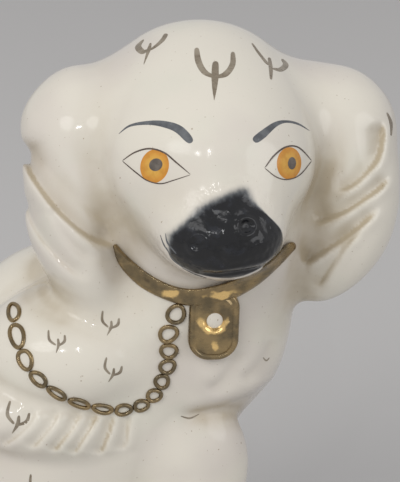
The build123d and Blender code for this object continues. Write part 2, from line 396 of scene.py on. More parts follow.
def relief(p):
    """How far the modelled surface dips below the plain form, or stands above it with a minus."""
    at = chart(p)
    dip = 0.22 * ripple(p, 34, 3)
    dip += smooth((HEAD[1] + HAIR_ENDS - p[:, 1]) / HAIR_FADE) * hair(at)
    dip += smooth((FUR_ENDS - p[:, 1]) / FUR_FADE) * fur(at)
    near = np.flatnonzero((p[:, 1] < FACE_Y) & (np.abs(at - FACE_AT) < FACE_HALF).all(1))
    if len(near):
        face = at[near]
        inside = smooth(-painted(face) / 4)
        dip[near] += mouth(face) + sum(nostril(face, *place) for place in NOSTRILS)
        dip[near] += inside * (0.05 * ripple(p[near], 2.6, 8) + 0.16 * ripple(p[near], 7, 9))
        dip[near] -= bell(np.hypot(*(face - np.float32(NOSE)).T), 5)
    return dip


# ---- the glazed skin
def plain(p):
    """The dog's form without its relief, rounded in a little where it meets the shelf."""
    d, *rest = fields(p)
    for part, soft in zip(rest, SOFT):
        d = join(d, part, soft)
    return d + 1.2 * np.clip((3 - p[:, 2]) / 3, 0, 2) ** 2


def dog(p):
    """The whole glazed skin."""
    d = plain(p)
    near = np.abs(d) < 9
    d[near] += relief(p[near])
    return d


def owner(p):
    """Which piece of SPLIT each place on the skin belongs to."""
    body, head, *rest = fields(p)
    which = np.argmin([np.minimum(body, head), *rest], axis=0)
    castings = 2 * (p[:, 1] > SEAM_Y) + (p[:, 2] > NECK_Z)
    return np.where(which == 0, castings, which + 3)


# ---- meshing
def in_chunks(field, p, size=150_000):
    return np.concatenate([field(p[i:i + size]) for i in range(0, len(p), size)])


def block(counts):
    """The whole-number places in a block of that many along each axis."""
    return np.stack(np.meshgrid(*map(np.arange, counts), indexing="ij"), -1).reshape(-1, 3)


def sample(field, low, high, step, ratio=4):
    """The field on a grid, worked out fully only in the cells near its surface."""
    low, high = np.asarray(low, float), np.asarray(high, float)
    cells = np.ceil((high - low) / (step * ratio)).astype(int)
    coarse = block(cells)
    rough = in_chunks(field, np.float32(low + (coarse + 0.5) * step * ratio))
    reach = step * ratio * 1.6
    grid = np.repeat(np.sign(rough) * reach, ratio ** 3).reshape(*cells, ratio, ratio, ratio)
    grid = np.float32(grid.transpose(0, 3, 1, 4, 2, 5).reshape(cells * ratio))
    fine = (coarse[np.abs(rough) < reach][:, None] * ratio + block([ratio] * 3)).reshape(-1, 3)
    grid[tuple(fine.T)] = in_chunks(field, np.float32(low + fine * step))
    return grid


def gradient(field, p, eps=0.08):
    out = np.empty_like(p)
    for axis, shift in enumerate(eps * np.eye(3, dtype=np.float32)):
        out[:, axis] = (in_chunks(field, p + shift) - in_chunks(field, p - shift)) / (2 * eps)
    return out


def unit(vectors):
    return vectors / np.maximum(np.linalg.norm(vectors, axis=-1, keepdims=True), 1e-9)


def settle(field, p, level=0.0, rounds=3, most=1.0, hold=None):
    """Points moved onto a level of the field; hold names an axis that they keep to."""
    p = p.copy()
    for _ in range(rounds):
        slope = gradient(field, p)
        if hold is not None:
            slope[:, hold] = 0
        size = np.maximum((slope * slope).sum(1), 0.05)
        p -= np.clip((in_chunks(field, p) - level) / size, -most, most)[:, None] * slope
    return p


def skin(field, low, high, step):
    """A quad mesh of the field's surface, its points on it, and their normals."""
    grid = sample(field, low, high, step)
    vdb = openvdb.FloatGrid(background=float(np.abs(grid).max()))
    vdb.copyFromArray(grid)
    points, quads = vdb.convertToQuads(0.0)
    points = settle(field, np.float32(np.float32(points) * step + low), most=step)
    quads = np.asarray(quads, np.int64)
    normals = unit(gradient(field, points))
    a, b, c = (points[quads[:, k]] for k in range(3))
    if (np.cross(b - a, c - a) * normals[quads[:, 0]]).sum() < 0:
        quads = quads[:, ::-1]
    return points, normals, quads


def edges_of(quads):
    """Each quad's sides as directed pairs of points, and the number of each side's edge."""
    sides = np.stack([quads, np.roll(quads, -1, axis=1)], -1).reshape(-1, 2)
    _, number, count = np.unique(
        np.sort(sides, 1), axis=0, return_inverse=True, return_counts=True)
    return sides, number.ravel(), count


def open_sides(quads):
    """Directed sides that only one quad has."""
    sides, number, count = edges_of(quads)
    return sides[count[number] == 1]


def divided(quads, *arrays):
    """Each quad cut in four, a marker of points on the patch's edge, and all points' values."""
    sides, number, count = edges_of(quads)
    first = np.full(len(count), -1)
    first[number] = np.arange(len(number))
    ends = sides[first]
    base = len(arrays[0])
    middles = base + number.reshape(-1, 4)
    centres = base + len(count) + np.arange(len(quads))
    pinned = np.zeros(base + len(count) + len(quads), bool)
    pinned[base + np.flatnonzero(count == 1)] = True
    pinned[ends[count == 1]] = True
    small = np.vstack([np.stack([quads[:, k], middles[:, k], centres, middles[:, k - 1]], 1)
                       for k in range(4)])
    return small, pinned, *(
        np.concatenate([array, array[ends].mean(1), array[quads].mean(1)]) for array in arrays)


def compact(quads, *arrays):
    """Only the points that the faces use."""
    used, quads_again = np.unique(quads, return_inverse=True)
    return quads_again.reshape(quads.shape), *(array[used] for array in arrays)


def cells_of(index):
    """Quads between the rows and columns of a grid of point numbers."""
    corners = [index[:-1, :-1], index[1:, :-1], index[1:, 1:], index[:-1, 1:]]
    return np.stack(corners, -1).reshape(-1, 4)


def flat_normals(points, faces):
    """Each face's own normal at all its corners."""
    corner = points[faces]
    across = unit(np.cross(corner[:, 1] - corner[:, 0], corner[:, -1] - corner[:, 0]))
    return np.repeat(across[:, None], faces.shape[1], axis=1).reshape(-1, 3)


def shell(points, normals, under, quads):
    """A patch closed by its underside and a strip along its edges, with its corner normals."""
    count = len(points)
    whole = np.vstack([points, under])
    start, end = open_sides(quads).T
    strip = np.stack([end, start, start + count, end + count], 1)
    below = quads[:, ::-1]
    return whole, np.vstack([quads, below + count, strip]), np.vstack([
        normals[quads].reshape(-1, 3), -normals[below].reshape(-1, 3),
        flat_normals(whole, strip)])


def make_mesh(name, points, faces, normals, **values):
    """An object from points, lists of equal-sized faces, corner normals and point values."""
    mesh = bpy.data.meshes.new(name)
    sizes = np.concatenate([np.full(len(part), part.shape[1]) for part in faces])
    corners = np.concatenate([part.ravel() for part in faces]).astype(np.int32)
    mesh.vertices.add(len(points))
    mesh.vertices.foreach_set("co", np.float32(points * MM).ravel())
    mesh.loops.add(len(corners))
    mesh.loops.foreach_set("vertex_index", corners)
    mesh.polygons.add(len(sizes))
    mesh.polygons.foreach_set("loop_start", (np.cumsum(sizes) - sizes).astype(np.int32))
    for key, value in values.items():
        value = np.pad(np.float32(value), (0, len(points) - len(value)))    # 0 inside
        mesh.attributes.new(key, "FLOAT", "POINT").data.foreach_set("value", value)
    mesh.update(calc_edges=True)
    mesh.shade_smooth()
    mesh.normals_split_custom_set(normals)
    piece = bpy.data.objects.new(name, mesh)
    scene.collection.objects.link(piece)
    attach(piece, "root")
    return piece


def finish_piece(piece, slot, material, *replaced):
    """The piece's material, and the CAD nodes it stands for; slot is not used."""
    piece.data.materials.append(material)
    if replaced:
        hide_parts(*replaced)


def hollow_piece(name, points, normals, inner, quads, **values):
    """A patch of skin closed into a wall of clay."""
    quads, points, normals, inner, *data = compact(
        quads, points, normals, inner, *values.values())
    whole, faces, shading = shell(points, normals, inner, quads)
    return make_mesh(name, whole, [faces], shading, **dict(zip(values, data)))


def loops_of(sides):
    """Closed loops from directed sides."""
    follow = dict(map(tuple, sides))
    while follow:
        loop = [next(iter(follow))]
        while loop[-1] in follow:
            loop.append(follow.pop(loop[-1]))
        yield np.array(loop[:-1])


def solid_piece(name, points, normals, quads, **values):
    """A patch of skin closed by a fan across each of its openings."""
    quads, points, normals, *data = compact(quads, points, normals, *values.values())
    fans, centres = [], []
    for loop in loops_of(open_sides(quads)):
        centre = points[loop].mean(0)
        if points[loop, 2].min() < GRID / 2:
            centre[2] = 0
        tip = np.full(len(loop), len(points) + len(centres))
        fans.append(np.stack([np.roll(loop, -1), loop, tip], 1))
        centres.append(centre)
    whole = np.float32(np.vstack([points, centres]))
    fan = np.vstack(fans)
    shading = np.vstack([normals[quads].reshape(-1, 3), flat_normals(whole, fan)])
    return make_mesh(name, whole, [quads, fan], shading, **dict(zip(values, data)))


# ---- materials
CREAM, LILAC, SALLOW = (0.71, 0.675, 0.595), (0.65, 0.605, 0.55), (0.66, 0.66, 0.57)
# The tan is pooled glaze in creases, and painted shade in creases and broad hollows.
POOLED_AND_SHADED, KILN_SPECK = (0.42, 0.35, 0.24), (0.3, 0.22, 0.14)
BISCUIT, PALE_BISCUIT, STAIN = (0.6, 0.49, 0.36), (0.68, 0.6, 0.48), (0.3, 0.23, 0.16)
BLACK, BLUE_BLACK, SLATE = (0.0075, 0.008, 0.0095), (0.017, 0.019, 0.025), (0.13, 0.14, 0.15)
# The gold's tones are kept dark, a painted reflection of dim surroundings, and vary at random.
DARK_REFLECTION_GOLD, MID_GOLD, RICH_GOLD = (0.2, 0.16, 0.1), (0.38, 0.28, 0.15), (0.42, 0.31, 0.16)
# A painted highlight colour for the gold, and gold worn thin.
GOLD_HIGHLIGHT, WORN_GOLD = (1, 0.7, 0.3), (0.13, 0.1, 0.07)
AMBER, ORANGE = (0.66, 0.37, 0.07), (0.6, 0.25, 0.035)
AMBER_STREAK, IRIS_EDGE = (0.5, 0.22, 0.03), (0.62, 0.52, 0.36)


class Finish:
    """A material in the making: its colour so far, and short ways to add nodes."""

    def __init__(self, name, colour, metallic=0.0):
        self.material = bpy.data.materials.new(name)
        self.material.use_nodes = True
        self.tree = self.material.node_tree
        self.shader = self.tree.nodes["Principled BSDF"].inputs
        self.shader["Metallic"].default_value = metallic
        self.place = self.add("TexCoord")["Object"]
        self.colour, self.height = colour, None

    def link(self, value, socket):
        """A number, a colour or another node's output led to a socket."""
        if isinstance(value, bpy.types.NodeSocket):
            self.tree.links.new(value, socket)
        else:
            socket.default_value = (*value, 1) if socket.type == "RGBA" else value

    def add(self, kind, inputs=(), **settings):
        """The outputs of a new node."""
        node = self.tree.nodes.new("ShaderNode" + kind)
        for name, value in settings.items():
            setattr(node, name, value)
        for name, value in dict(inputs).items():
            self.link(value, node.inputs[name])
        return node.outputs

    def noise(self, scale, detail, stretch=None):
        """Noise over the object, finer along stretched axes."""
        place = self.place
        if stretch:
            place = self.add("Mapping", {"Vector": place, "Scale": stretch})["Vector"]
        return self.add("TexNoise", {"Vector": place, "Scale": scale, "Detail": detail})["Fac"]

    def ramp(self, value, low, high, start=0.0, end=1.0):
        """The value's range from low to high, eased onto start to end."""
        inputs = {"Value": value, "From Min": low, "From Max": high, "To Min": start, "To Max": end}
        return self.add("MapRange", inputs, interpolation_type="SMOOTHSTEP")["Result"]

    def patches(self, scale, detail, *limits, stretch=None):
        return self.ramp(self.noise(scale, detail, stretch), *limits)

    def maths(self, operation, first, second):
        return self.add("Math", {0: first, 1: second}, operation=operation)[0]

    def attribute(self, name):
        return self.add("Attribute", attribute_name=name)["Fac"]

    def mix(self, share, first, second):
        return self.add("Mix", {0: share, 6: first, 7: second}, data_type="RGBA")[2]

    def layer(self, colour, share):
        """A share of another colour over the colour so far."""
        self.colour = self.mix(share, self.colour, colour)

    def bump(self, height, strength, deep=0.001):
        """Small unevenness, on top of any earlier one."""
        inputs = {"Height": height, "Strength": strength, "Distance": deep}
        if self.height:
            inputs["Normal"] = self.height
        self.height = self.add("Bump", inputs)["Normal"]

    def done(self, roughness):
        """The material, with all of this put on its shader."""
        self.link(self.colour, self.shader["Base Color"])
        self.link(roughness, self.shader["Roughness"])
        if self.height:
            self.link(self.height, self.shader["Normal"])
        return self.material


def glaze_finish(name, enamel=False):
    """Clear glaze over white clay: warmer and darker where it pools in creases, with painted shade
    in broad hollows, bare at the foot.
    """
    finish = Finish(name, CREAM)
    finish.layer(LILAC, finish.patches(14, 3, 0.42, 0.62))
    finish.layer(SALLOW, finish.patches(38, 4, 0.52, 0.75, 0, 0.35))
    uneven = finish.patches(60, 3, 0.25, 0.7, 0.6, 1)
    depth = finish.maths("MULTIPLY", finish.attribute("pool"), uneven)
    # Tan of pooled glaze in creases, with painted shade in creases and broad hollows.
    finish.layer(POOLED_AND_SHADED, finish.ramp(depth, 0.06, 0.8, 0, 0.85))
    finish.layer(KILN_SPECK, finish.patches(900, 1, 0.755, 0.8, 0, 0.7))
    level = finish.add("SeparateXYZ", {0: finish.place})["Z"]
    level = finish.maths("ADD", level, finish.maths("MULTIPLY", finish.noise(120, 3), 0.003))
    bare = finish.ramp(level, 0.003, 0.0036, 1, 0)
    finish.layer(BISCUIT, bare)
    if enamel:
        streaks = finish.patches(420, 4, 0.3, 0.7, 0.85, 1.15, stretch=(1, 0.7, 0.7))
        edge = finish.maths("MULTIPLY", finish.attribute("enamel"), streaks)
        black = finish.mix(finish.patches(260, 4, 0.5, 0.72, 0, 0.8), BLACK, BLUE_BLACK)
        finish.layer(SLATE, finish.ramp(edge, 0, 0.6))
        finish.layer(black, finish.ramp(edge, 0.25, 0.85))
        gloss = finish.patches(160, 3, 0.35, 0.7, 0.08, 0.26)
        finish.bump(finish.noise(190, 3), 0.22, 0.002)
        finish.bump(finish.noise(520, 3), 0.08)
    else:
        gloss = finish.patches(25, 3, 0.3, 0.7, 0.09, 0.15)
        finish.bump(finish.noise(48, 2), 0.1, 0.003)
        finish.bump(finish.noise(260, 2), 0.02)
    return finish.done(finish.ramp(bare, 0, 1, gloss, 0.75))


def gilding_finish():
    """Fired gold, laid by brush, its colour kept dark as a painted reflection of dim surroundings.
    """
    finish = Finish("gilding", DARK_REFLECTION_GOLD, metallic=1)
    finish.layer(MID_GOLD, finish.patches(180, 4, 0.35, 0.7))
    finish.layer(RICH_GOLD, finish.patches(70, 3, 0.5, 0.72, 0, 0.8))
    uneven = finish.patches(260, 3, 0.3, 0.7, -0.25, 0.25)
    # Painted highlights: brighter gold in given places and in noise patches.
    highlight_share = finish.maths("ADD", finish.attribute("bright"), uneven)
    finish.layer(GOLD_HIGHLIGHT, finish.ramp(highlight_share, 0.35, 0.8))
    finish.layer(WORN_GOLD, finish.patches(420, 5, 0.62, 0.72, 0, 0.55))
    finish.bump(finish.noise(500, 4, (0.25, 0.25, 1.4)), 0.12)
    return finish.done(finish.patches(300, 4, 0.3, 0.75, 0.16, 0.36, stretch=(0.3, 0.3, 1.6)))


def paint_finish(name, deep, pale, scale, roughness):
    """Enamel that the brush laid unevenly."""
    finish = Finish(name, deep)
    finish.layer(pale, finish.patches(scale, 4, 0.35, 0.7))
    finish.bump(finish.noise(scale * 3, 3), 0.08)
    return finish.done(
        finish.patches(scale * 2, 3, 0.3, 0.7, roughness * 0.7, roughness * 1.4))


def iris_finish():
    """Amber enamel, orange towards its rim and streaked from the pupil."""
    finish = Finish("amber_enamel", AMBER)
    rim = finish.attribute("rim")
    finish.layer(ORANGE, finish.ramp(rim, 0.35, 0.95))
    finish.layer(AMBER_STREAK, finish.patches(420, 4, 0.4, 0.7, 0, 0.6))
    finish.layer(IRIS_EDGE, finish.ramp(rim, 0.9, 1, 0, 0.5))
    finish.bump(finish.noise(700, 3), 0.06)
    return finish.done(finish.patches(300, 3, 0.3, 0.7, 0.1, 0.22))


def biscuit_finish():
    """Unglazed clay: matt, faintly grainy, stained by the shelf."""
    finish = Finish("bare_earthenware", BISCUIT)
    finish.layer(PALE_BISCUIT, finish.patches(40, 4, 0.35, 0.7))
    finish.layer(STAIN, finish.patches(700, 3, 0.6, 0.75, 0, 0.5))
    finish.bump(finish.noise(900, 4), 0.3)
    return finish.done(finish.patches(200, 3, 0.3, 0.7, 0.7, 0.92))


# ---- the castings
MARGIN = 3.0    # of the skin's grid, round the CAD's box
low, high = np.array(cad_low) / MM - MARGIN, np.array(cad_high) / MM + MARGIN
low[2] = -4 * GRID
points, normals, quads = skin(dog, low, high, GRID)

# The foot: the lowest points come level with the shelf, and what lies below it goes.
lowest = np.abs(points[:, 2]) < GRID / 2
points[lowest, 2] = 0
points[lowest] = settle(dog, points[lowest], hold=2)
quads = quads[(points[quads][:, :, 2] > -0.01).all(1)]
points[np.unique(open_sides(quads)), 2] = 0

belongs = in_chunks(owner, points[quads].mean(1))
# Each seam between castings: its axis, its level, and the castings on its two sides.
for axis, level, one, other in ((1, SEAM_Y, [0, 1], [2, 3]), (2, NECK_Z, [0, 2], [1, 3])):
    seam = np.intersect1d(quads[np.isin(belongs, one)], quads[np.isin(belongs, other)])
    points[seam, axis] = level
    points[seam] = settle(dog, points[seam], hold=axis)
normals = unit(gradient(dog, points))

# Glaze pools in creases, where the form is near again further out, and this tan is also painted
# shade there; broad hollows get a weaker painted shade in the same tan.
crease, hollow = (in_chunks(plain, points + reach * normals) for reach in (8, 22))
pool = np.maximum(np.clip(1.6 - 0.2 * crease, 0, 1), np.clip(1.15 - hollow / 20, 0, 0.5))
inner = settle(plain, points - WALL * unit(gradient(plain, points)), level=-WALL)
inner[:, 2] = np.maximum(inner[:, 2], 0)

MUZZLE_Y = HEAD[1] - 40     # the muzzle's piece lies in front of this
MUZZLE_EDGE = 5             # and reaches this far past the enamel's edge
middles = points[quads].mean(1)
on_muzzle = (belongs == 1) & (painted(chart(middles)) < MUZZLE_EDGE) & (middles[:, 1] < MUZZLE_Y)
white = glaze_finish("white_glaze")
for number, node in enumerate(SPLIT):
    own = quads[(belongs == number) & ~on_muzzle]
    if node in HOLLOW:
        piece = hollow_piece(node + "_skin", points, normals, inner, own, pool=pool)
    else:
        piece = solid_piece(node + "_skin", points, normals, own, pool=pool)
    finish_piece(piece, "white_glaze", white, node)

CRISP, FEATHER = 0.9, 8     # width of the enamel's edge below, and what it gains above


def muzzle_piece():
    """The painted muzzle, on a finer mesh than the rest of the head."""
    # depth carries each point's glaze pooling and painted shade.
    own, at, facing, inside, depth = compact(quads[on_muzzle], points, normals, inner, pool)
    for _ in range(2):
        own, pinned, at, facing, inside, depth = divided(own, at, facing, inside, depth)
        at[~pinned] = settle(dog, at[~pinned], rounds=2)
    facing[~pinned] = gradient(dog, at[~pinned])
    where = chart(at)
    feather = FEATHER * smooth((where[:, 1] - 0.5 * where[:, 0] + 46) / 17)
    cover = smooth(0.5 - (painted(where) + 0.22 * feather) / (CRISP + feather))
    # The chart runs on through the head, so throat and far jaw are kept bare.
    x, y, z = from_head(at).T
    behind = np.maximum(smooth((-24 - z) / 4), smooth(x / 8) * smooth((-5 - z) / 6))
    cover *= 1 - behind * smooth((y + 58) / 5)
    return hollow_piece(
        "muzzle_enamel", at, unit(facing), inside, own, pool=depth, enamel=cover)


black = glaze_finish("black_enamel", enamel=True)
finish_piece(muzzle_piece(), "black_enamel", black, "head_front_casting")


# ---- strokes and patches of paint
SIGHT = unit(np.float32([CHART_SWAY, 1, -CHART_RISE]))
NEAREST = -115.0    # depth in front of the whole dog


def along_sight(at, depth):
    """Places at some depth along the lines of sight through the chart."""
    start = np.stack([at[:, 0], np.zeros(len(at)), at[:, 1]], 1)
    return np.float32(start + HEAD + depth[:, None] * SIGHT / SIGHT[1])


def march(field, at, depth, rounds, most):
    """The depth at which lines of sight meet the field's surface."""
    for _ in range(rounds):
        depth = depth + np.clip(0.75 * field(along_sight(at, depth)), -4, most)
    return depth


depths = Chart((-125, -175), (95, 62), 1.5)
every = depths.places.reshape(-1, 2)
start = np.full(len(every), NEAREST)
depths.values = march(plain, every, start, 45, 12).reshape(depths.values.shape)


def drape(at, field=dog):
    """Places on the chart brought along the line of sight onto the skin, and their normals."""
    at = np.float32(at)
    p = along_sight(at, march(field, at, depths(at) - 3, 9, 3))
    return p, unit(gradient(field, p))


ACROSS = np.float32([-1, -0.8, -0.4, 0, 0.4, 0.8, 1])
STEP = 0.45     # length of a stroke's steps
FILM, EDGE, ROOT = 0.09, -0.04, 0.3     # paint's height, its rim's, its depth in the glaze


def stroke(line, widths, lift=FILM):
    """A brush stroke along a line on the chart, of a given half width at its points."""
    length = np.linalg.norm(np.diff(line, axis=0), axis=1).sum()
    count = max(12, int(length / STEP))
    middle = curve(line, count)
    along = unit(np.gradient(middle, axis=0))
    half = np.interp(np.linspace(0, 1, count), np.linspace(0, 1, len(widths)), widths)
    half = half * np.sqrt(np.clip(1 - np.abs(np.linspace(-1, 1, count)) ** 14, 0.02, 1))
    side = np.stack([-along[:, 1], along[:, 0]], 1)
    at = middle[:, None] + side[:, None] * (half[:, None] * ACROSS)[..., None]
    points, normals = drape(at.reshape(-1, 2))
    heights = np.full((count, len(ACROSS)), lift)
    heights[[0, -1]] = heights[:, [0, -1]] = EDGE
    quads = cells_of(np.arange(len(points)).reshape(heights.shape))
    top = points + normals * heights.reshape(-1, 1)
    return shell(top, normals, points - normals * ROOT, quads)


def joined(name, shapes, material, slot, *replaced):
    """One piece from several closed shapes."""
    points, quads, shading = zip(*shapes)
    starts = np.cumsum([0, *map(len, points[:-1])])
    quads = [faces + first for faces, first in zip(quads, starts)]
    piece = make_mesh(name, np.vstack(points), [np.vstack(quads)], np.vstack(shading))
    finish_piece(piece, slot, material, *replaced)


def round_trip(count):
    """Angles in equal steps, once round."""
    return np.linspace(0, 2 * math.pi, count, endpoint=False)


def disc_piece(name, middle, outline, material, slot, lift=FILM, rings=9):
    """A closed patch of paint in an anticlockwise outline; rim is the share of the way out."""
    outline, middle, count = np.float32(outline), np.float32(middle), len(outline)
    out = np.append(np.linspace(0.06, 0.94, rings - 1), 1)
    points, normals = drape((middle + out[:, None, None] * (outline - middle)).reshape(-1, 2))
    heights = np.repeat([lift, EDGE], [(rings - 1) * count, count])[:, None]
    centre, up = drape(middle[None])
    whole = np.vstack([
        points + normals * heights, points[-count:] - ROOT * normals[-count:],
        centre + up * lift, centre - up * ROOT,
    ])
    normals = np.vstack([normals, normals[-count:], up, -up])
    index = np.arange((rings + 1) * count).reshape(-1, count)
    quads = cells_of(np.pad(index, ((0, 0), (0, 1)), mode="wrap"))
    top, base = index[0], index[-1]
    hub = np.full(count, len(whole) - 2)
    top_fan = np.stack([top, np.roll(top, -1), hub], 1)
    base_fan = np.stack([np.roll(base, -1), base, hub + 1], 1)
    shading = np.vstack([normals[quads].reshape(-1, 3), normals[top_fan].reshape(-1, 3),
                         flat_normals(whole, base_fan)])
    rim = np.append(np.repeat([*np.linspace(0, 1, rings), 1], count), [0, 1])
    piece = make_mesh(name, whole, [quads, top_fan, base_fan], shading, rim=rim)
    finish_piece(piece, slot, material)


# ---- painted face
slate = paint_finish("slate_enamel", (0.085, 0.09, 0.1), (0.14, 0.15, 0.16), 260, 0.2)
umber = paint_finish("umber_line", (0.075, 0.055, 0.045), (0.12, 0.09, 0.07), 300, 0.25)
dusk = paint_finish("dark_pupil", (0.1, 0.085, 0.075), (0.16, 0.14, 0.12), 400, 0.15)
bronze = paint_finish("brown_lustre", (0.2, 0.165, 0.12), (0.3, 0.26, 0.2), 240, 0.3)
amber = iris_finish()

BROWS = [
    ([(-30.5, 3), (-26, 6), (-19, 6.5), (-13, 5.5), (-7.5, 3), (-2.5, -2.5)],
     (0.1, 0.5, 0.9, 1.4, 1.7, 1.7)),
    ([(20, -2.5), (23.5, 0.5), (28, 4.5), (32, 6), (37, 5.5), (42.5, 3)],
     (1.7, 1.7, 1.1, 0.6, 0.5, 0.1)),
]
joined("brows", [stroke(*brow) for brow in BROWS], slate, "black_enamel")

# Each eye: upper lid, lower lid, iris and pupil, on the chart.
EYES = {
    "right_eye": (
        [(-28.5, -8), (-23.5, -5), (-18, -4), (-12.5, -6), (-8, -10), (-2.5, -15)],
        [(-28.5, -8), (-23, -13), (-18.5, -16.5), (-13.5, -18), (-9, -17), (-2.5, -15)],
        ((-16, -11), (5.5, 6.8)), ((-15.5, -10.5), (2.6, 2.6)),
    ),
    "left_eye": (
        [(24.5, -13), (28, -8), (32.5, -4.5), (37.5, -4.5), (43.5, -9.5)],
        [(24.5, -13), (29, -16.5), (33.5, -17.5), (38.5, -15.5), (43.5, -9.5)],
        ((34, -11), (5, 6.6)), ((35, -11), (1.7, 2.6)),
    ),
}
UPPER_LID, LOWER_LID = (0.15, 0.32, 0.36, 0.34, 0.3, 0.12), (0.15, 0.22, 0.24, 0.24, 0.2, 0.12)
PUPIL_LIFT, LID_LIFT = FILM + 0.05, FILM + 0.07     # over the iris, and over both


def oval_outline(middle, half, upper, lower):
    """An oval that the lids cut off above and below."""
    angle = round_trip(72)
    u, w = middle[0] + half[0] * np.cos(angle), middle[1] + half[1] * np.sin(angle)
    over, under = curve(upper, 80), curve(lower, 80)
    w = np.minimum(w, np.interp(u, over[:, 0], over[:, 1]) + 0.1)
    return np.stack([u, np.maximum(w, np.interp(u, under[:, 0], under[:, 1]) - 0.1)], 1)


lids = []
for name, (upper, lower, iris, pupil) in EYES.items():
    outline = oval_outline(*iris, upper, lower)
    disc_piece(name + "_iris", iris[0], outline, amber, "amber_enamel")
    outline = oval_outline(*pupil, upper, lower)
    disc_piece(name + "_pupil", pupil[0], outline, dusk, "black_enamel", PUPIL_LIFT)
    lids += [stroke(upper, UPPER_LID, LID_LIFT), stroke(lower, LOWER_LID, LID_LIFT)]
joined("eye_outlines", lids, umber, "black_enamel")

WHISKERS = [
    ([(-13, -38), (-11.5, -42), (-9, -46)], (0.05, 0.25, 0.1)),
    ([(-11, -37.5), (-10, -41.5), (-6.5, -46)], (0.05, 0.35, 0.2)),
    ([(-10.5, -43), (-8, -48), (-4, -51.5)], (0.05, 0.35, 0.1)),
    ([(-4.5, -51.5), (0, -54), (5, -56)], (0.05, 0.25, 0.1)),
]
joined("whisker_strokes", [stroke(*whisker) for whisker in WHISKERS], slate, "black_enamel")

# ---- brown-gold sprigs
CROWN_SPRIGS = [        # the strokes of each sprig, with their half widths
    ([(-2.5, 38.5), (-1.5, 32), (1, 27), (5, 24.5)], (1, 1.3, 1.2, 0.7)),
    ([(11.5, 36.5), (11.5, 30.5), (9, 26), (5, 24.5)], (0.9, 1.2, 1.3, 0.7)),
    ([(5, 32), (5, 25), (5, 20), (5, 14.5)], (1.3, 1.5, 1, 0.1)),
    ([(-14.5, 46.5), (-16, 43), (-19.5, 39.5), (-22, 39)], (1, 1, 0.6, 0.4)),
    ([(-23.5, 45), (-25.5, 41.5), (-23.5, 38.5), (-21.5, 39)], (0.4, 1.4, 1.3, 0.5)),
    ([(-20.5, 42.5), (-21, 39), (-22.5, 32)], (0.4, 0.9, 0.1)),
    ([(19, 41.5), (21.5, 37), (24.5, 32.5), (26, 31)], (0.4, 0.6, 0.7, 0.5)),
    ([(31.5, 35.5), (33, 32.5), (30.5, 29.5), (27, 29.5)], (0.6, 1.3, 1.1, 0.4)),
    ([(26, 35), (26.5, 29.5), (26.5, 24)], (0.7, 0.9, 0.5)),
    ([(75, 12), (77, 7.5), (77, 1.5)], (0.4, 1, 0.4)),
]
BODY_SPRIG = [          # drawn smaller: a long prong, a short one, the middle and its tail
    ([(-3, 8), (-3, 3.5), (-0.5, 0.5)], (0.4, 0.6, 0.4)),
    ([(3.5, 4.5), (3, 1.5), (0, 0)], (0.4, 0.7, 0.4)),
    ([(0.5, 3.5), (0.5, 0.5), (-1, -3)], (0.4, 0.7, 0.1)),
]
BODY_SPRIGS = [         # joint on the chart, size and turn in degrees
    (-32.5, -77.5, 1, 0), (-52.5, -84, 0.95, 10), (-31, -97.5, 1, -6), (-68.5, -118, 1.3, -6),
    (-92, -98, 1.1, 8), (-104, -128, 1.1, -10), (-86, -140, 1.1, 12), (-60, -150, 1.1, 0),
]
TICKS = [               # two small marks on the chest
    ([(29.6, -93.6), (31.2, -95.4), (32.6, -94.2)], (0.2, 0.4, 0.2)),
    ([(-3.4, -118.6), (0.6, -120), (4.6, -118.4)], (0.2, 0.5, 0.2)),
]
marks = [stroke(*mark) for mark in CROWN_SPRIGS]
for u, w, size, degrees in BODY_SPRIGS:
    spin = np.array(Matrix.Rotation(math.radians(degrees), 2)) * size
    marks += [stroke(np.array(line) @ spin.T + (u, w), np.array(widths) * size)
              for line, widths in BODY_SPRIG]
marks += [stroke(*mark) for mark in TICKS]
joined("fur_sprigs", marks, bronze, "gilding")


# ---- gilded relief
COLLAR_LINE = [         # middle of the band on the chart, and its half width there
    (-31, -42.5), (-28.5, -47.5), (-25, -52), (-19, -57.5), (-10, -62.5), (-1, -65),
    (7.5, -64.5), (16, -62), (24, -57.5), (31.5, -51), (38, -45),
]
COLLAR_HALF = [1, 2.2, 2.9, 3.3, 3.3, 3.7, 4.2, 4, 3.6, 3.1, 2.2]
COLLAR_UP, COLLAR_DOWN = 1.9, 1.5   # how far it stands off the plain form and goes in


def collar_field(p):
    """A soft-edged strip on the skin, whose two ends lie on the ears."""
    away, along = beside(chart(p), curve(COLLAR_LINE, 40))
    half = np.interp(along, np.linspace(0, 1, len(COLLAR_HALF)), COLLAR_HALF)
    under = plain(p)
    d = carve(under - COLLAR_UP, -COLLAR_DOWN - under, 0.4)
    d = carve(d, 0.9 * (np.abs(away) - half), 1.6)
    return np.maximum(d, p[:, 1] - SEAM_Y)


def neck(p):
    """Body and head without the ears."""
    return join(body_field(p), head_and_neck(p), SOFT[0])


LOCK_HALF, LOCK_CORNER = (10, 15), 8.6
LOCK_FRONT, LOCK_BACK = 3.7, 6  # how far its faces are from the chest's skin
LOCK_AT = (8.5, -76.5)  # its middle, on the chart
KEYHOLE_UP = 2.2    # from the lock's middle
(lock_middle,), _ = drape([LOCK_AT], neck)
lock_out = unit(np.array([-0.03, -1.0, 0.07]))
lock_right = unit(np.cross([0, 0, 1.0], lock_out))
lock_axes = np.float32([lock_right, np.cross(lock_out, lock_right), lock_out])


def on_lock(p):
    """Places to the right of, above and out from the middle of the lock."""
    return (p - lock_middle) @ lock_axes.T


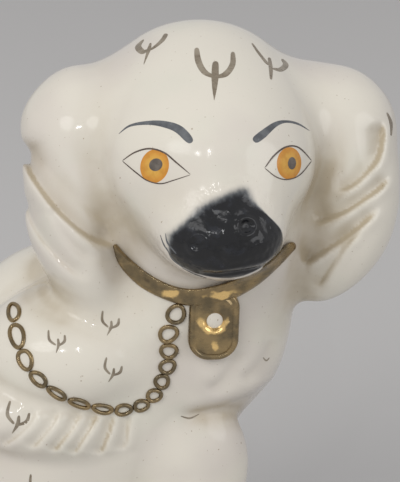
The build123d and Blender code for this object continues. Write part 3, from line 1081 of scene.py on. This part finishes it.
def lock_field(p):
    """A bevelled plate with a rim, and a raised crescent round a sunk keyhole."""
    a, b, c = on_lock(p).T
    x, y = np.abs(a) - LOCK_HALF[0] + LOCK_CORNER, np.abs(b) - LOCK_HALF[1] + LOCK_CORNER
    edge = np.hypot(np.maximum(x, 0), np.maximum(y, 0)) + np.minimum(np.maximum(x, y), 0)
    edge -= LOCK_CORNER
    hole = np.hypot(a, b - KEYHOLE_UP)
    rim = 0.7 * bell(edge + 2.4, 0.8)
    crescent = 0.75 * bell(hole - 5, 1.0) * smooth((KEYHOLE_UP + 1.5 - b) / 3)
    top = c - LOCK_FRONT + rim - crescent + 1.1 * bell(hole, 3.5, 8)
    return carve(carve(edge, top, 2.6), -LOCK_BACK - c, 0.5)


def keyhole_field(p):
    """The round of bare glaze that stands for the keyhole."""
    return egg(on_lock(p), (0, KEYHOLE_UP, 2.5), (3.6, 3.6, 1.1))


# Painted highlights on the gold: middle on the chart, half width and half height.
GOLD_HIGHLIGHT_SPOTS = [(-8.5, -63, 3.5, 2.2), (10.5, -64.5, 7, 2.4), (9.5, -86.5, 2, 2.5)]


def bright_gold(points):
    """Painted highlights on the gold: in given places, and on the crescent under the keyhole."""
    at = chart(points)
    spots = sum(np.exp(-((at[:, 0] - u) / wide) ** 2 - ((at[:, 1] - w) / high) ** 2)
                for u, w, wide, high in GOLD_HIGHLIGHT_SPOTS)
    from_hole = at - np.float32([LOCK_AT[0], LOCK_AT[1] + KEYHOLE_UP])
    crescent = bell(np.hypot(*from_hole.T) - 5.2, 1.9) * smooth((2 - from_hole[:, 1]) / 4)
    return np.clip(spots + crescent, 0, 1)


CHAIN_PATH = [
    (-6.5, -72), (-9.5, -82), (-9, -94), (-16, -110), (-30, -113.5), (-48, -107),
    (-61.5, -95.5), (-68.5, -81.5), (-72, -70),
]
RINGS = 15
LONG_HALF = ([0, 2, 6, 9, 11, 13, 14], [4.3, 3.2, 3, 4.6, 4.3, 5, 4])    # by ring
WIDE_HALF = ([0, 1, 6, 9, 10, 12, 13, 14], [3.6, 3.8, 2.8, 2, 2, 3, 3.4, 2.8])
WIRE, WIRE_UP = 0.85, 0.3   # radius of the rings' wire, and its height on the skin


def tube(points, normals, around=12):
    """A closed ring of wire along points on the skin."""
    along = unit(np.roll(points, -1, 0) - np.roll(points, 1, 0))
    across = unit(np.cross(along, normals))
    angle = round_trip(around)[None, :, None]
    out = np.cos(angle) * normals[:, None] + np.sin(angle) * across[:, None]
    wire = (points + normals * WIRE_UP)[:, None] + WIRE * out
    index = np.arange(len(points) * around).reshape(-1, around)
    quads = cells_of(np.pad(index, ((0, 1), (0, 1)), mode="wrap"))[:, ::-1]
    return wire.reshape(-1, 3), quads, out.reshape(-1, 3)[quads].reshape(-1, 3)


def chain_rings():
    """Oval rings end to end along the swag, longer towards the rump."""
    path = curve(CHAIN_PATH, 400)
    length = np.append(0, np.cumsum(np.hypot(*np.diff(path, axis=0).T)))

    def at_length(place):
        return np.array([np.interp(place, length, path[:, k]) for k in range(2)])

    long_half, wide_half = (np.interp(np.arange(RINGS), *half) for half in (LONG_HALF, WIDE_HALF))
    places = np.append(0, np.cumsum(long_half[:-1] + long_half[1:]))
    places *= length[-1] / places[-1]
    random = np.random.default_rng(5)
    angle = round_trip(40)[:, None]
    for place, long_radius, wide_radius in zip(places, long_half, wide_half):
        ahead = unit(at_length(place + 1) - at_length(place - 1))
        side = np.array([-ahead[1], ahead[0]])
        wobble = (1 + 0.05 * np.sin(2 * angle + random.uniform(0, 6))
                  + 0.04 * np.sin(3 * angle + random.uniform(0, 6)))
        out = (np.cos(angle) * ahead * (long_radius - 0.4)
               + np.sin(angle) * side * (wide_radius - 0.5))
        yield tube(*drape(at_length(place) + wobble * out))


gilding = gilding_finish()
BAND_STEP, LOCK_STEP = ((0.55, 0.34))
HOLE_STEP = 0.34


def gilded(name, field, low, high, step, *replaced):
    points, normals, quads = skin(field, low, high, step)
    # Each gilded piece carries where its painted highlights lie.
    bright, normals = bright_gold(points), normals[quads].reshape(-1, 3)
    piece = make_mesh(name, points, [quads], normals, bright=bright)
    finish_piece(piece, "gilding", gilding, *replaced)


band_low, band_high = node_box("collar_band")
gilded("collar", collar_field, band_low - 8, band_high + 8, BAND_STEP, "collar_band")
gilded("lock", lock_field, lock_middle - 20, lock_middle + 20, LOCK_STEP, "padlock")
joined("chain", chain_rings(), gilding, "gilding", "chain_links")

points, normals, quads = skin(keyhole_field, lock_middle - 8, lock_middle + 8, HOLE_STEP)
keyhole = make_mesh("keyhole", points, [quads], normals[quads].reshape(-1, 3))
finish_piece(keyhole, "white_glaze", white)

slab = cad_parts["closing_slab"]
slab.data.materials.clear()
slab.data.materials.append(biscuit_finish())

# ---- studio
bpy.ops.mesh.primitive_plane_add(size=8, location=(0, 0, 0))
floor = bpy.context.object
floor.name = "floor"
floor.data.materials.append(Finish("floor_paper", (0.56, 0.555, 0.55)).done(0.9))
floor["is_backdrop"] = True

# Lamps that face the head: place, size across and up, watts, colour, whether they glint.
WHITE = (1, 1, 1)
LAMPS = {
    "key": ((-1.3, -1.3, 1.9), (1.6, 1.6), 25, (1, 0.98, 0.94), False),
    "fill": ((2, -1.4, 1.2), (1.8, 1.8), 10, (0.97, 0.97, 0.98), True),
    "window": ((-1.05, -1, 1.35), (0.8, 0.6), 2.4, WHITE, True),
    "sparkle": ((-0.35, -0.9, 0.9), (0.03, 0.03), 0.35, WHITE, True),
    "streak": ((-0.1, -1, 1), (0.015, 0.2), 0.5, WHITE, True),
}
for name, (at, size, watts, colour, mirrored) in LAMPS.items():
    light = bpy.data.lights.new(name, "AREA")
    light.shape = "ELLIPSE"
    light.size, light.size_y = size
    light.energy = watts
    light.color = colour
    lamp = bpy.data.objects.new(name, light)
    lamp.location = at
    lamp.rotation_euler = (Vector(HEAD * MM) - Vector(at)).to_track_quat("-Z", "Y").to_euler()
    lamp.visible_glossy = mirrored
    scene.collection.objects.link(lamp)

world = bpy.data.worlds.new("studio")
world.use_nodes = True
sky = world.node_tree.nodes["Background"].inputs
sky["Color"].default_value = (0.97, 0.96, 0.97, 1)
sky["Strength"].default_value = 0.55
scene.world = world

# ---- camera
AZIMUTH, ELEVATION, ROLL = math.radians(-10), math.radians(23.5), math.radians(2.3)
DISTANCE = 550.0    # from the middle of the head
WIDE = 161.2        # millimetres across the picture there
AIM = (0.3, -38.0)  # the picture's middle, right of and above the head's
forward = Vector((
    -math.sin(AZIMUTH) * math.cos(ELEVATION),
    math.cos(AZIMUTH) * math.cos(ELEVATION),
    -math.sin(ELEVATION),
))
flat = Vector((math.cos(AZIMUTH), math.sin(AZIMUTH), 0))
right = flat * math.cos(ROLL) + flat.cross(forward) * math.sin(ROLL)
up = right.cross(forward)
eye = Vector(HEAD) + AIM[0] * right + AIM[1] * up - forward * DISTANCE
lens = bpy.data.cameras.new("camera")
lens.sensor_fit = "HORIZONTAL"
lens.sensor_width = 36
lens.lens = lens.sensor_width * DISTANCE / WIDE
lens.clip_start = 0.01
camera = bpy.data.objects.new("camera", lens)
axes = Matrix((right, up, -forward)).transposed().to_4x4()
camera.matrix_world = Matrix.Translation(eye * MM) @ axes
scene.collection.objects.link(camera)
scene.camera = camera
scene.view_settings.view_transform = "Standard"

seen_low, seen_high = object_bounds()
{"cad": [list(cad_low), list(cad_high)], "visual": [list(seen_low), list(seen_high)]}
